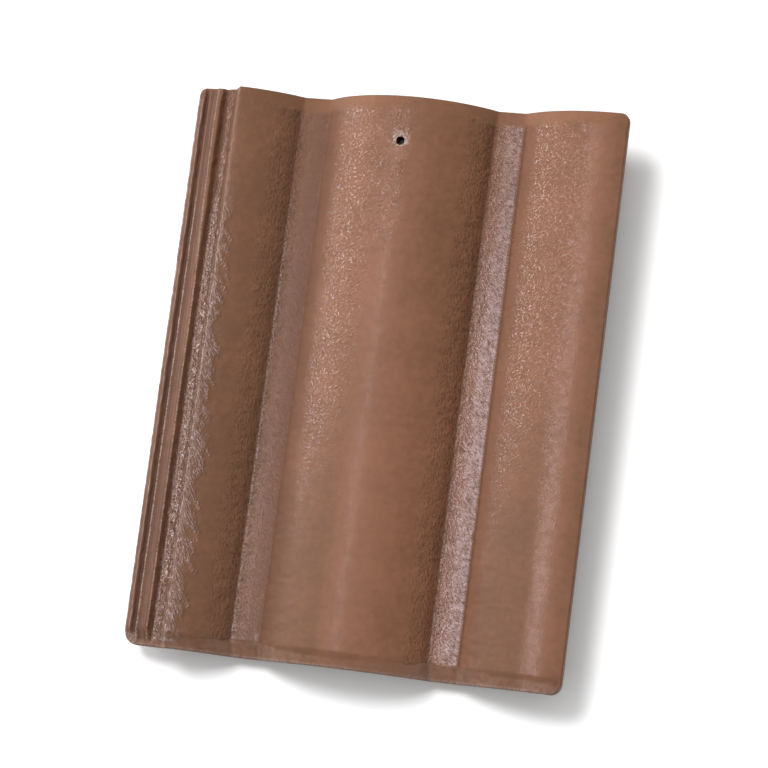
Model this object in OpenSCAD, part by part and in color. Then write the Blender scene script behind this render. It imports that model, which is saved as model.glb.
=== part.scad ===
// Interlocking concrete roof tile with two pans and low rounded rolls.
// Millimetres. X runs across the tile from the lock to the cover edge, Y from the tail to the
// head, Z up. The tile lies on its nibs and its front weather bar; the origin is the middle of
// its bounding box at floor level.

/* [Overall size] */
// Length from the tail edge to the head edge
tile_length = 420; // [380:1:460]
// Width from the lock rib to the cover edge
tile_width = 330; // [290:1:400]
// Thickness of the pans and the rolls
thickness = 12; // [10:0.5:14]

/* [Wave] */
// Width of the lock side that the next tile covers
side_lap = 30; // [28:0.5:32]
// Distance from the lock edge to the crest line of the lock-side roll
lock_crest = 16.5; // [14:0.5:19]
// Width of each flat pan
pan_width = 21; // [16:1:30]
// Height of the centre roll above the pans
centre_roll_height = 29; // [24:0.5:34]
// Height of the two side rolls above the pans
side_roll_height = 24; // [22:0.5:26]
// Distance from the crest of the cover roll to the cover edge
cover_overhang = 16.5; // [13:0.5:20]

/* [Side lock] */
// Height of the outer lock rib above the pans
outer_rib_height = 7.5; // [6.5:0.25:8.5]
// Width of the outer lock rib
outer_rib_width = 4.5; // [3.5:0.25:5.5]
// Bevel on the free edge of the outer lock rib
outer_rib_bevel = 0.75; // [0.5:0.25:2]
// Height of the inner lock rib above the pans
inner_rib_height = 10; // [9:0.25:11]
// Width of the inner lock rib from groove to groove
inner_rib_width = 10; // [8.5:0.25:11]
// Width of the flat crest on the inner lock rib
inner_rib_crest = 3; // [2:0.25:4]
// Sideways run of the slope up to the inner rib's crest
inner_rib_rise = 3; // [2:0.25:4]
// Width of the outer groove at its mouth
outer_groove_width = 4; // [3:0.25:5]
// Depth of the outer groove below the outer rib
outer_groove_depth = 2; // [1:0.25:3]
// Width of the inner groove at its floor
inner_groove_width = 1; // [0.5:0.25:2]
// Depth of the inner groove below the inner rib
inner_groove_depth = 4; // [3:0.25:4.5]
// Sideways run of the outer groove's sloping walls
outer_wall_run = 1; // [0.5:0.25:1.25]
// Sideways run of the inner groove's sloping wall
inner_wall_run = 2; // [1:0.25:2.5]
// Distance of the lock's underside below the top of the pans
lock_underside_drop = 3; // [1:0.5:6]
// Sideways run of the rising ledge beside the inner groove
ledge_run = 7.5; // [6:0.5:9]
// Height of the ledge's end above the pans
ledge_height = 10.25; // [9:0.25:11.5]
// Sideways run of the shoulder's steep wall between the ledge and the roll
shoulder_run = 6.5; // [5.5:0.5:8]
// Clearance between the lock and the cover of the next tile
lock_clearance = 1; // [0.6:0.1:1.4]

/* [Tail, head and corners] */
// Length of the sloping nose at the tail
nose_length = 12; // [8:0.5:16]
// Drop of the upper face at the tail edge
nose_drop = 5; // [3:0.5:6]
// Length of the eased band at the head
head_band = 10; // [6:0.5:14]
// Drop of the upper face at the head edge
head_drop = 1.5; // [0.5:0.25:3]
// Corner radius in plan at the lock, tail end
tail_lock_radius = 9; // [5:0.5:12]
// Corner radius in plan at the cover edge, tail end
tail_cover_radius = 9; // [5:0.5:12]
// Corner radius in plan at the lock, head end
head_lock_radius = 6; // [4:0.5:9]
// Corner radius in plan at the cover edge, head end
head_cover_radius = 6; // [4:0.5:9]

/* [Nail hole] */
// Diameter of the nail hole in the centre roll
nail_hole_d = 6.5; // [5:0.25:8]
// Distance of the nail hole from the head edge
nail_hole_setback = 34; // [26:1:44]

/* [Underside] */
// Width of a nib across the tile
nib_width = 28; // [20:1:30]
// Length of a nib along the tile at its root
nib_length = 20; // [14:1:26]
// Depth of a nib below the pans
nib_depth = 16; // [12:0.5:20]
// Slope of a nib's head side, as a run along the tile
nib_back_run = 6; // [2:0.5:9]
// Distance of a nib's root from the head edge
nib_setback = 8; // [4:1:16]
// Number of weather bars across the tail's underside
bar_count = 2; // [1:1:3]
// Width of a weather bar along the tile
bar_width = 8; // [5:0.5:12]
// Depth of a weather bar below the pans and rolls
bar_depth = 5; // [3:0.5:7]
// Distance of the first weather bar from the tail edge
bar_setback = 22; // [14:1:36]
// Distance from one weather bar to the next
bar_spacing = 34; // [24:1:44]

/* [Hidden] */
$fn = 192;
// Working margin past the faces that a cut goes through
margin = 6;
// Depth below the pans that the working sections reach
reach = tile_width;
// Width that a laid tile covers
cover_width = tile_width - side_lap;
cover_crest = tile_width - cover_overhang;
pitch = (cover_crest - lock_crest) / 2;
centre_crest = lock_crest + pitch;
half_chord = (pitch - pan_width) / 2;
// Radius of a roll that rises to the given height over its chord
function roll_radius(height) = (half_chord * half_chord + height * height) / (2 * height);
centre_radius = roll_radius(centre_roll_height);
side_radius = roll_radius(side_roll_height);
// Lock positions across the tile
outer_groove_x = outer_rib_width;
inner_rib_x = outer_groove_x + outer_groove_width;
inner_groove_x = inner_rib_x + inner_rib_width;
outer_groove_floor = outer_rib_height - outer_groove_depth;
inner_groove_floor = inner_rib_height - inner_groove_depth;
ledge_foot = inner_groove_x + inner_wall_run + inner_groove_width;
ledge_end = ledge_foot + ledge_run;
roll_start = ledge_end + shoulder_run;
// Height of the lock-side roll at a place across the tile, moved in from its upper face
function side_roll_z(x, inset) =
    sqrt(pow(side_radius - inset, 2) - pow(x - lock_crest, 2)) + side_roll_height - side_radius;
shoulder_slope = (side_roll_z(roll_start, 0) - ledge_height) / shoulder_run;
// Upright distance at which the cover keeps its clearance from the steep shoulder
cover_lift = lock_clearance * sqrt(1 + shoulder_slope * shoulder_slope);
nib_tail_side = tile_length - nib_setback - nib_length;
// Tilt at which the nibs and the first weather bar touch a level floor together
rest_tilt = atan((nib_depth - bar_depth) / (nib_tail_side - bar_setback));
rest_floor = bar_setback * sin(rest_tilt) - (thickness + bar_depth) * cos(rest_tilt);
rest_head = tile_length * cos(rest_tilt) + thickness * sin(rest_tilt);
rest_tail = -(centre_roll_height - nose_drop) * sin(rest_tilt);

// Draws a section across the tile out along its length, from one Y to another
module along(from, to) {
    translate([0, to, 0])
        rotate([90, 0, 0])
            linear_extrude(height = to - from)
                children();
}

// Everything below the pans and rolls, moved in from their upper face
module below_wave(inset) {
    intersection() {
        union() {
            translate([-reach, -reach - inset])
                square([tile_width + 2 * reach, reach]);
            translate([lock_crest, side_roll_height - side_radius])
                circle(r = side_radius - inset);
            translate([centre_crest, centre_roll_height - centre_radius])
                circle(r = centre_radius - inset);
            translate([cover_crest, side_roll_height - side_radius])
                circle(r = side_radius - inset);
        }
        translate([roll_start, -reach])
            square([tile_width + margin - roll_start, 2 * reach]);
    }
}

// Lock and shoulder before the grooves are cut, tied into the lock-side roll
module lock_blank() {
    tie_x = roll_start + thickness / 2;
    polygon([
        [-margin, -lock_underside_drop],
        [ledge_end, -lock_underside_drop],
        [tie_x, side_roll_z(tie_x, thickness / 2)],
        [roll_start, side_roll_z(roll_start, 0)],
        [ledge_end, ledge_height],
        [inner_groove_x, inner_rib_height],
        [inner_groove_x - inner_rib_crest, inner_rib_height],
        [inner_groove_x - inner_rib_crest - inner_rib_rise, outer_rib_height],
        [outer_rib_bevel, outer_rib_height],
        [-margin, outer_rib_height - outer_rib_bevel - margin]
    ]);
}

// The two water grooves of the lock
module lock_grooves() {
    polygon([
        [outer_groove_x, outer_rib_height + margin],
        [outer_groove_x, outer_rib_height],
        [outer_groove_x + outer_wall_run, outer_groove_floor],
        [inner_rib_x - outer_wall_run, outer_groove_floor],
        [inner_rib_x, outer_rib_height],
        [inner_rib_x, outer_rib_height + margin]
    ]);
    polygon([
        [inner_groove_x, inner_rib_height + margin],
        [inner_groove_x, inner_rib_height],
        [inner_groove_x + inner_wall_run, inner_groove_floor],
        [ledge_foot, inner_groove_floor],
        [ledge_end, ledge_height],
        [ledge_end, ledge_height + margin]
    ]);
}

// Ribs under the cover that hang over the grooves of the next tile's lock
module cover_ribs() {
    root = side_roll_height - thickness / 2;
    outer_tip = outer_groove_floor + lock_clearance;
    inner_tip = inner_groove_floor + cover_lift;
    translate([cover_width, 0]) {
        polygon([
            [outer_groove_x, root],
            [outer_groove_x + outer_wall_run + lock_clearance / 2, outer_tip],
            [inner_rib_x - outer_wall_run - lock_clearance / 2, outer_tip],
            [inner_rib_x, root]
        ]);
        polygon([
            [inner_groove_x, root],
            [inner_groove_x + inner_wall_run, inner_tip],
            [side_lap + margin, inner_tip],
            [side_lap + margin, root]
        ]);
    }
}

// Room under the cover edge for the ledge and the shoulder of the next tile
module cover_relief() {
    translate([cover_width, cover_lift])
        polygon([
            [ledge_foot, -reach],
            [ledge_foot, inner_groove_floor],
            [ledge_end, ledge_height],
            [roll_start, side_roll_z(roll_start, 0)],
            [roll_start, -reach]
        ]);
}

// Cross section of the tile
module section() {
    difference() {
        union() {
            difference() {
                below_wave(0);
                below_wave(thickness);
            }
            lock_blank();
            cover_ribs();
        }
        lock_grooves();
        cover_relief();
    }
}

// Open space above the upper face, with the grooves left filled
module above_top() {
    difference() {
        translate([-margin, -reach / 2])
            square([tile_width + 2 * margin, reach]);
        below_wave(0);
        lock_blank();
        translate([-2 * margin, -reach])
            square([roll_start + 4 * margin, reach]);
    }
}

// Plan of the tile with its four rounded corners
module plan() {
    union() {
        translate([tail_lock_radius, tail_lock_radius])
            circle(r = tail_lock_radius);
        translate([tile_width - tail_cover_radius, tail_cover_radius])
            circle(r = tail_cover_radius);
        translate([head_lock_radius, tile_length - head_lock_radius])
            circle(r = head_lock_radius);
        translate([tile_width - head_cover_radius, tile_length - head_cover_radius])
            circle(r = head_cover_radius);
        polygon([
            [tail_lock_radius, 0],
            [tile_width - tail_cover_radius, 0],
            [tile_width, tail_cover_radius],
            [tile_width, tile_length - head_cover_radius],
            [tile_width - head_cover_radius, tile_length],
            [head_lock_radius, tile_length],
            [0, tile_length - head_lock_radius],
            [0, tail_lock_radius]
        ]);
    }
}

// Weather bars across the underside near the tail
module weather_bars() {
    for (i = [0 : bar_count - 1])
        along(bar_setback + i * bar_spacing, bar_setback + i * bar_spacing + bar_width)
            intersection() {
                difference() {
                    below_wave(thickness / 2);
                    below_wave(thickness + bar_depth);
                }
                translate([roll_start + thickness, -reach])
                    square([cover_width - roll_start - 2 * thickness, 2 * reach]);
            }
}

// Nibs under the two pans that hook over the batten
module nibs() {
    for (x = [lock_crest + pitch / 2, centre_crest + pitch / 2])
        translate([x - nib_width / 2, 0, 0])
            rotate([90, 0, 90])
                linear_extrude(height = nib_width)
                    polygon([
                        [nib_tail_side, -thickness / 2],
                        [nib_tail_side, -thickness - nib_depth],
                        [nib_tail_side + nib_length - nib_back_run, -thickness - nib_depth],
                        [nib_tail_side + nib_length, -thickness],
                        [nib_tail_side + nib_length, -thickness / 2]
                    ]);
}

// Slope of the upper face at the tail, falling towards the edge
module nose_cut() {
    translate([0, nose_length, 0])
        multmatrix([[1, 0, 0, 0], [0, 1, 0, 0], [0, nose_drop / nose_length, 1, 0], [0, 0, 0, 1]])
            along(-nose_length - margin, margin / 2)
                above_top();
}

// Eased band of the upper face at the head
module head_cut() {
    translate([0, tile_length - head_band, 0])
        multmatrix([[1, 0, 0, 0], [0, 1, 0, 0], [0, -head_drop / head_band, 1, 0], [0, 0, 0, 1]])
            along(-margin / 2, head_band + margin)
                above_top();
}

// Nail hole through the crest of the centre roll
module nail_hole() {
    translate([centre_crest, tile_length - nail_hole_setback, 0])
        cylinder(d = nail_hole_d, h = centre_roll_height + margin);
}

module tile() {
    color("#8c6450")
        translate([-tile_width / 2, -(rest_head + rest_tail) / 2, -rest_floor])
            rotate([rest_tilt, 0, 0])
                difference() {
                    union() {
                        intersection() {
                            along(-margin, tile_length + margin)
                                section();
                            translate([0, 0, -reach])
                                linear_extrude(height = 2 * reach)
                                    plan();
                        }
                        weather_bars();
                        nibs();
                    }
                    nose_cut();
                    head_cut();
                    nail_hole();
                }
}

tile();
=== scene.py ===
"""Interlocking roof tile in coated concrete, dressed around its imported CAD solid.

The tile is worked out in its own frame: X runs across from the lock-side edge, Y along from the
tail edge to the head, and Z up from the upper face of the pans. It is then laid down as it rests.
"""

import math
from types import SimpleNamespace

import bpy
import numpy as np
from bpy.props import FloatProperty, FloatVectorProperty, IntProperty, PointerProperty
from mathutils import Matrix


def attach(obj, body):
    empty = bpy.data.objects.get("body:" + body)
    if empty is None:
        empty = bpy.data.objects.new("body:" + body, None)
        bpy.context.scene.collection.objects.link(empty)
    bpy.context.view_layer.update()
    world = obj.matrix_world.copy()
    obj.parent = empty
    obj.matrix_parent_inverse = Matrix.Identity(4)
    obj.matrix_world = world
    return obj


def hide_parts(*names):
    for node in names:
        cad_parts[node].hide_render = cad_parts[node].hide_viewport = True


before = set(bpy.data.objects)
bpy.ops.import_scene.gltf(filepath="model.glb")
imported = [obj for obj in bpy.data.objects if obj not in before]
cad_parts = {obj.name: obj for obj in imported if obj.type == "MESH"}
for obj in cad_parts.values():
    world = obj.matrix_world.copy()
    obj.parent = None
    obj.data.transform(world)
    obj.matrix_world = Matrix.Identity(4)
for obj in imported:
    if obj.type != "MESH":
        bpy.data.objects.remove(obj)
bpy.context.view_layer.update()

bl_info = {
    "name": "Coated Roof Tile",
    "version": (1, 0, 0),
    "blender": (4, 5, 0),
    "location": "View3D > Sidebar > Roof Tile",
    "description": "Builds a double-roll interlocking roof tile with a coated, grainy upper face",
    "category": "Add Mesh",
}

MM = 0.001
# The camera's place in metres and its turn in degrees, as fitted to the photograph's edges
CAMERA_PLACE = (0.52782, -0.32922, 2.05805)
CAMERA_TURN = (10.8131, 13.0788, 7.9557)
# Socket numbers of the Mix node, whose names repeat for each kind of data
FACTOR, VALUE_A, VALUE_B, COLOUR_A, COLOUR_B = 0, 2, 3, 6, 7
MIXED_COLOUR = 2


def linear(hex_colour):
    """Linear RGB of an sRGB hex colour."""
    srgb = np.array([int(hex_colour[i : i + 2], 16) for i in (1, 3, 5)]) / 255
    return tuple(np.where(srgb <= 0.04045, srgb / 12.92, ((srgb + 0.055) / 1.055) ** 2.4))


def length(name, millimetres, description):
    """A property in metres whose default is given in millimetres."""
    return FloatProperty(
        name=name, description=description, default=millimetres * MM, min=0.0, unit="LENGTH", precision=4
    )


def colour(name, hex_colour, description):
    """A colour property whose default is given as sRGB hex."""
    return FloatVectorProperty(
        name=name, description=description, default=linear(hex_colour), min=0.0, max=1.0, subtype="COLOR"
    )


def power(name, watts, description):
    """A light's power as a property."""
    return FloatProperty(name=name, description=description, default=watts, min=0.0, unit="POWER")


class TileSize(bpy.types.PropertyGroup):
    """Sizes of the tile, the same as those of its solid."""

    tile_length: length("Length", 420, "From the tail edge to the head edge")
    tile_width: length("Width", 330, "From the lock-side edge to the cover edge")
    thickness: length("Thickness", 12, "Wall of the pans and rolls")
    side_lap: length("Side lap", 30, "Width that the next tile covers")
    lock_crest: length("Lock crest", 16.5, "From the lock-side edge to the crest of the first roll")
    pan_width: length("Pan width", 21, "Flat water course between two rolls")
    centre_roll_height: length("Centre roll", 29, "Crest of the centre roll above the pans")
    side_roll_height: length("Side rolls", 24, "Crest of the outer rolls above the pans")
    cover_overhang: length("Cover overhang", 16.5, "From the last crest to the cover edge")
    outer_rib_height: length("Outer rib height", 7.5, "Top of the outer rib above the pans")
    outer_rib_width: length("Outer rib width", 4.5, "From the lock-side edge to the first groove")
    outer_rib_bevel: length("Outer rib bevel", 0.75, "Bevel on the lock-side edge")
    inner_rib_height: length("Inner rib height", 10, "Top of the inner rib above the pans")
    inner_rib_width: length("Inner rib width", 10, "From the first groove to the second")
    inner_rib_crest: length("Inner rib crest", 3, "Level part of the inner rib")
    inner_rib_rise: length("Inner rib rise", 3, "Slope up to the inner rib's crest")
    outer_groove_width: length("Outer groove width", 4, "Opening of the first groove")
    outer_groove_depth: length("Outer groove depth", 2, "First groove below the outer rib")
    inner_groove_width: length("Inner groove width", 1, "Floor of the second groove")
    inner_groove_depth: length("Inner groove depth", 4, "Second groove below the inner rib")
    outer_wall_run: length("Outer wall run", 1, "Slope of the first groove's walls")
    inner_wall_run: length("Inner wall run", 2, "Slope of the second groove's outer wall")
    lock_underside_drop: length("Lock underside", 3, "Underside of the lock below the pans' face")
    ledge_run: length("Ledge run", 7.5, "Rising ledge beside the second groove")
    ledge_height: length("Ledge height", 10.25, "End of the ledge above the pans")
    shoulder_run: length("Shoulder run", 6.5, "Steep wall from the ledge up to the first roll")
    lock_clearance: length("Lock clearance", 1, "Room that the cover's ribs keep in the grooves")
    nose_length: length("Nose length", 12, "Sloping band of the upper face at the tail")
    nose_drop: length("Nose drop", 5, "Fall of that band at the tail edge")
    head_band: length("Head band", 10, "Eased band of the upper face at the head")
    head_drop: length("Head drop", 1.5, "Fall of that band at the head edge")
    tail_radius: length("Tail corners", 9, "Plan radius of the two tail corners")
    head_radius: length("Head corners", 6, "Plan radius of the two head corners")
    nail_hole_d: length("Nail hole", 6.5, "Bore through the centre roll's crest")
    nail_hole_setback: length("Nail hole setback", 34, "From the head edge to the nail hole")
    nib_width: length("Nib width", 28, "Width of a hanging nib")
    nib_length: length("Nib length", 20, "Length of a hanging nib at its root")
    nib_depth: length("Nib depth", 16, "Nib below the pan's underside")
    nib_back_run: length("Nib back slope", 6, "Slope of the nib's head side")
    nib_setback: length("Nib setback", 8, "From the head edge to the nib")
    bar_count: IntProperty(name="Weather bars", description="Ribs below the tail", default=2, min=0)
    bar_width: length("Bar width", 8, "Width of a weather bar")
    bar_depth: length("Bar depth", 5, "Weather bar below the underside")
    bar_setback: length("Bar setback", 22, "From the tail edge to the first bar")
    bar_spacing: length("Bar spacing", 34, "From one bar to the next")
    edge_round: length("Edge rounding", 1.0, "Rounding of the upper edges all round")
    under_round: length("Under edge rounding", 1.2, "Rounding of the lower edges all round")


class TileFinish(bpy.types.PropertyGroup):
    """Colours of the coating and of the concrete below it; some also paint shade, sheen and highlights
    into the coat.
    """

    coat_red: colour("Coat, red brown", "#99694e", "Coating where it lies thick")
    coat_brown: colour("Coat, brown", "#7d573f", "Coating where it lies thin")
    # Also the colour of painted shade in grooves, creases, low places of the relief and the nail hole's
    # bore
    pooled_and_shade: colour("Coat, pooled", "#523528", "Coating run together in creases and grooves")
    # Also the colour of painted highlights and sheen on the tail's edge and corners, the outer rib and
    # the nose
    wear_and_painted_sheen: colour("Worn edge", "#a08579", "Coating rubbed thin on edges")
    # Also the colour of painted highlight lines along the lock's ridges, the pans' edges and the tail
    chipped_and_highlight: colour("Chipped rim", "#c2aaa0", "Broken concrete round the nail hole")
    concrete: colour("Concrete", "#8d7264", "Bare through-coloured concrete below")


class TileStudio(bpy.types.PropertyGroup):
    """Floor, lights and camera."""

    floor: colour("Floor", "#fafafa", "Plain pale floor")
    sheen: colour("Sheen", "#f2efff", "Tint of the strip light that shows in the coat")
    glint: colour("Glint", "#fff0ee", "Tint of the boxes that glint on the flanks")
    key_power: power("Key light", 202, "Large soft box high on the left, towards the head")
    side_power: power("Side light", 4.5, "Wide soft box low on the left")
    strip_power: power("Strip light", 7.2, "Strip overhead that shows as sheen")
    glint_power: power("Glint light", 10, "Box on the left that glints near the head")
    low_power: power("Low light", 4.6, "Low box on the left that glints near the tail")
    fill: FloatProperty(name="Fill", description="Even light from all round", default=0.31, min=0.0)
    lens: FloatProperty(
        name="Lens", description="Focal length on a 36 mm sensor", default=136.53, min=1.0, unit="CAMERA"
    )


def derived(s):
    """Sizes that follow from the others: crest places, roll radii, lock corners and the resting tilt."""
    d = SimpleNamespace()
    d.cover_width = s.tile_width - s.side_lap
    cover_crest = s.tile_width - s.cover_overhang
    d.pitch = (cover_crest - s.lock_crest) / 2
    d.crests = np.array([s.lock_crest, s.lock_crest + d.pitch, cover_crest])
    d.heights = np.array([s.side_roll_height, s.centre_roll_height, s.side_roll_height])
    half_chord = (d.pitch - s.pan_width) / 2
    d.radii = (half_chord**2 + d.heights**2) / (2 * d.heights)
    d.outer_groove = s.outer_rib_width
    d.inner_rib = d.outer_groove + s.outer_groove_width
    d.inner_groove = d.inner_rib + s.inner_rib_width
    d.outer_floor = s.outer_rib_height - s.outer_groove_depth
    d.inner_floor = s.inner_rib_height - s.inner_groove_depth
    d.ledge_foot = d.inner_groove + s.inner_wall_run + s.inner_groove_width
    d.ledge_end = d.ledge_foot + s.ledge_run
    d.roll_start = d.ledge_end + s.shoulder_run
    d.roll_top = side_roll_height_at(d, d.roll_start, 0)
    shoulder_slope = (d.roll_top - s.ledge_height) / s.shoulder_run
    d.cover_lift = s.lock_clearance * math.hypot(1, shoulder_slope)
    d.pans = (d.crests[:2] + d.crests[1:]) / 2
    d.nail = np.array([d.crests[1], s.tile_length - s.nail_hole_setback])
    d.nib_tail = s.tile_length - s.nib_setback - s.nib_length
    d.bars = [s.bar_setback + i * s.bar_spacing for i in range(s.bar_count)]
    d.bar_ends = (d.roll_start + s.thickness, d.cover_width - s.thickness)
    d.tilt = math.atan((s.nib_depth - s.bar_depth) / (d.nib_tail - s.bar_setback))
    return d


def to_floor(s, d, points):
    """Turns the tile by its resting tilt about X, then sets it on the floor, centred on the origin."""
    cos, sin = math.cos(d.tilt), math.sin(d.tilt)
    floor = s.bar_setback * sin - (s.thickness + s.bar_depth) * cos
    head = s.tile_length * cos + s.thickness * sin
    tail = -(s.centre_roll_height - s.nose_drop) * sin
    x, y, z = points.T
    return np.stack(
        [x - s.tile_width / 2, y * cos - z * sin - (head + tail) / 2, y * sin + z * cos - floor], axis=1
    )


def smooth(t):
    """Smooth step from 0 at t = 0 to 1 at t = 1."""
    t = np.clip(t, 0, 1)
    return t * t * (3 - 2 * t)


def rise(at, start, run):
    """Smooth step from 0 at a start to 1 a run further on."""
    return smooth((at - start) / run)


def band(at, start, end, soft):
    """1 between two limits, falling to 0 over a soft width outside them."""
    return smooth((at - start) / soft + 1) * smooth((end - at) / soft + 1)


def strip(at, base, start, end, soft):
    """Band whose limits are set off from a base line, with these and the soft width in millimetres."""
    return band(at, base + start * MM, base + end * MM, soft * MM)


def lattice_noise(x, y, cell_x, cell_y, seed):
    """Random numbers on a lattice of the given cell, blended by a quintic fade, from -1 to 1."""
    side = 512
    table = np.random.default_rng(seed).uniform(-1, 1, (side, side))
    u, v = x / cell_x, y / cell_y
    i, j = np.floor(u).astype(int), np.floor(v).astype(int)
    fu, fv = u - i, v - j
    fu, fv = fu**3 * (fu * (fu * 6 - 15) + 10), fv**3 * (fv * (fv * 6 - 15) + 10)
    near = table[j % side, i % side] * (1 - fu) + table[j % side, (i + 1) % side] * fu
    far = table[(j + 1) % side, i % side] * (1 - fu) + table[(j + 1) % side, (i + 1) % side] * fu
    return near * (1 - fv) + far * fv


def wave_height(d, x, inset):
    """Pans and rolls moved in by inset: the highest of a level line and three circles."""
    reach = (d.radii - inset) ** 2 - (x[..., None] - d.crests) ** 2
    rolls = np.sqrt(np.maximum(reach, 0)) + d.heights - d.radii
    return np.maximum(rolls.max(axis=-1), -inset)


def side_roll_height_at(d, x, inset):
    """Height of the lock-side roll's circle, moved in by inset, at one place across the tile."""
    return math.sqrt((d.radii[0] - inset) ** 2 - (x - d.crests[0]) ** 2) + d.heights[0] - d.radii[0]


def section_tables(s, d):
    """Heights across the tile on a fine line: upper face, upper face with filled grooves, underside.

    Left of the roll the upper face runs straight between the lock's corners. The underside is the
    wave moved in by the thickness, lowered to the lock's plate and to the cover's ribs, and raised
    where the cover makes room for the next shoulder. A Gaussian average rounds the corners.
    """
    step, margin, far_above = 0.1 * MM, 8 * MM, 1.0
    x = np.arange(-margin, s.tile_width + margin, step)
    wave = wave_height(d, x, 0)
    plain = [
        (-margin, s.outer_rib_height - s.outer_rib_bevel - margin),
        (s.outer_rib_bevel, s.outer_rib_height),
        (d.inner_groove - s.inner_rib_crest - s.inner_rib_rise, s.outer_rib_height),
        (d.inner_groove - s.inner_rib_crest, s.inner_rib_height),
        (d.inner_groove, s.inner_rib_height),
        (d.ledge_end, s.ledge_height),
        (d.roll_start, d.roll_top),
    ]
    grooved = [
        *plain[:2],
        (d.outer_groove, s.outer_rib_height),
        (d.outer_groove + s.outer_wall_run, d.outer_floor),
        (d.inner_rib - s.outer_wall_run, d.outer_floor),
        (d.inner_rib, s.outer_rib_height),
        *plain[2:5],
        (d.inner_groove + s.inner_wall_run, d.inner_floor),
        (d.ledge_foot, d.inner_floor),
        *plain[5:],
    ]
    on_lock = x < d.roll_start
    blank = np.where(on_lock, np.interp(x, *zip(*plain)), wave)
    face = np.where(on_lock, np.interp(x, *zip(*grooved)), wave)

    tie = d.roll_start + s.thickness / 2
    tie_height = side_roll_height_at(d, tie, s.thickness / 2)
    plate = np.interp(x, [d.ledge_end, tie], [-s.lock_underside_drop, tie_height])
    shell = np.where(on_lock, far_above, wave_height(d, x, s.thickness))
    under = np.minimum(shell, np.where(x < tie, plate, far_above))
    root = s.side_roll_height - s.thickness / 2
    outer_tip, inner_tip = d.outer_floor + s.lock_clearance, d.inner_floor + d.cover_lift
    slope, past = s.outer_wall_run + s.lock_clearance / 2, s.side_lap + margin
    ribs = (
        (d.outer_groove, d.outer_groove + slope, d.inner_rib - slope, d.inner_rib, outer_tip),
        (d.inner_groove, d.inner_groove + s.inner_wall_run, past, past + 1 * MM, inner_tip),
    )
    for left, tip_left, tip_right, right, tip in ribs:
        corners = d.cover_width + np.array([left, tip_left, tip_right, right])
        rib = np.interp(x, corners, [root, tip, tip, root])
        under = np.where((x > corners[0]) & (x < corners[3]), np.minimum(under, rib), under)
    corners = d.cover_width + np.array([d.ledge_foot, d.ledge_end, d.roll_start])
    relief = np.interp(x, corners, d.cover_lift + np.array([d.inner_floor, s.ledge_height, d.roll_top]))
    under = np.where(x > corners[0], np.maximum(under, relief), under)

    def rounded(z, softness):
        """Average of the heights around each place, weighted by a Gaussian of the given width."""
        reach = np.arange(-3 * softness, 3 * softness + step / 2, step)
        weight = np.exp(-0.5 * (reach / softness) ** 2)
        pad = len(reach) // 2
        return np.convolve(np.pad(z, pad, mode="edge"), weight / weight.sum(), mode="valid")

    crisp, soft = 0.4 * MM, 0.7 * MM
    on_roll = rise(x, d.ledge_end, s.shoulder_run)
    d.line = x
    d.face = rounded(face, crisp) * (1 - on_roll) + rounded(face, soft) * on_roll
    d.blank = rounded(blank, crisp) * (1 - on_roll) + rounded(blank, soft) * on_roll
    d.under = rounded(under, crisp)


def edge_distance(s, x, y):
    """Distance inside the plan's outline, taken from the corner circles near the corners."""
    gap_x = np.minimum(x, s.tile_width - x)
    gap_y = np.minimum(y, s.tile_length - y)
    radius = np.where(y < s.tile_length / 2, s.tail_radius, s.head_radius)
    in_corner = (gap_x < radius) & (gap_y < radius)
    round_gap = radius - np.hypot(radius - gap_x, radius - gap_y)
    return np.maximum(np.where(in_corner, round_gap, np.minimum(gap_x, gap_y)), 0)


def quarter_round(distance, radius):
    """Height lost to a quarter circle of the given radius along an edge."""
    short = np.clip(radius - distance, 0, radius)
    return radius - np.sqrt(radius**2 - short**2)


def plan_inset(s, y):
    """How far the plan's sides stand in at Y: not at all, but by a quarter circle at each corner."""
    tail = quarter_round(y, s.tail_radius)
    head = quarter_round(s.tile_length - y, s.head_radius)
    return np.maximum(tail, head)


def grain_mask(s, d, x, y):
    """1 where the coat carries its grain, fading to 0 on the smooth bands at the tail and the head.

    The bands are widest on the pans and half as wide on the rolls. On the lock the tail's is
    narrowest and the head's is missing.
    """
    tail_fade, head_fade = 1.2 * MM, 2.5 * MM
    wander = 0.8 * MM * lattice_noise(x, y, 5 * MM, 5 * MM, 11)
    lock = 1 - rise(x, d.roll_start + 6 * MM, 10 * MM)
    roll = np.clip(wave_height(d, x, 0) / s.side_roll_height, 0, 1)
    share = 1 - np.maximum(0.45 * roll, 0.65 * lock)
    from_head = s.tile_length - y
    tail = rise(y + wander, s.nose_length * share, tail_fade)
    head = rise(from_head - wander, s.head_band * share * (1 - lock), head_fade)
    return tail * head


def chip_field(s, d, x, y):
    """How far the concrete is broken round the nail hole: 1 at the bore, 0 past a ragged outline
    that reaches further towards the head."""
    away = np.hypot(x - d.nail[0], y - d.nail[1]) - s.nail_hole_d / 2
    turn = np.arctan2(y - d.nail[1], x - d.nail[0])
    splinters = lattice_noise(turn, away, 0.3, 3 * MM, 21)
    crumbs = lattice_noise(x, y, 1.5 * MM, 1.5 * MM, 22)
    reach = 3.6 * MM * (1 + 0.4 * np.sin(turn))
    return smooth(1.2 - away / reach + 0.5 * (splinters + 0.8 * crumbs))


def tail_part(y):
    """1 over most of the tile's length, falling to 0 near the head."""
    return 1 - rise(y, 260 * MM, 120 * MM)


def right_feet(d, x):
    """1 low on the right flanks of the lock-side and centre rolls, where the coat runs and wrinkles."""
    return sum(strip(x, pan, -22, -12, 12) for pan in d.pans)


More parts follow.
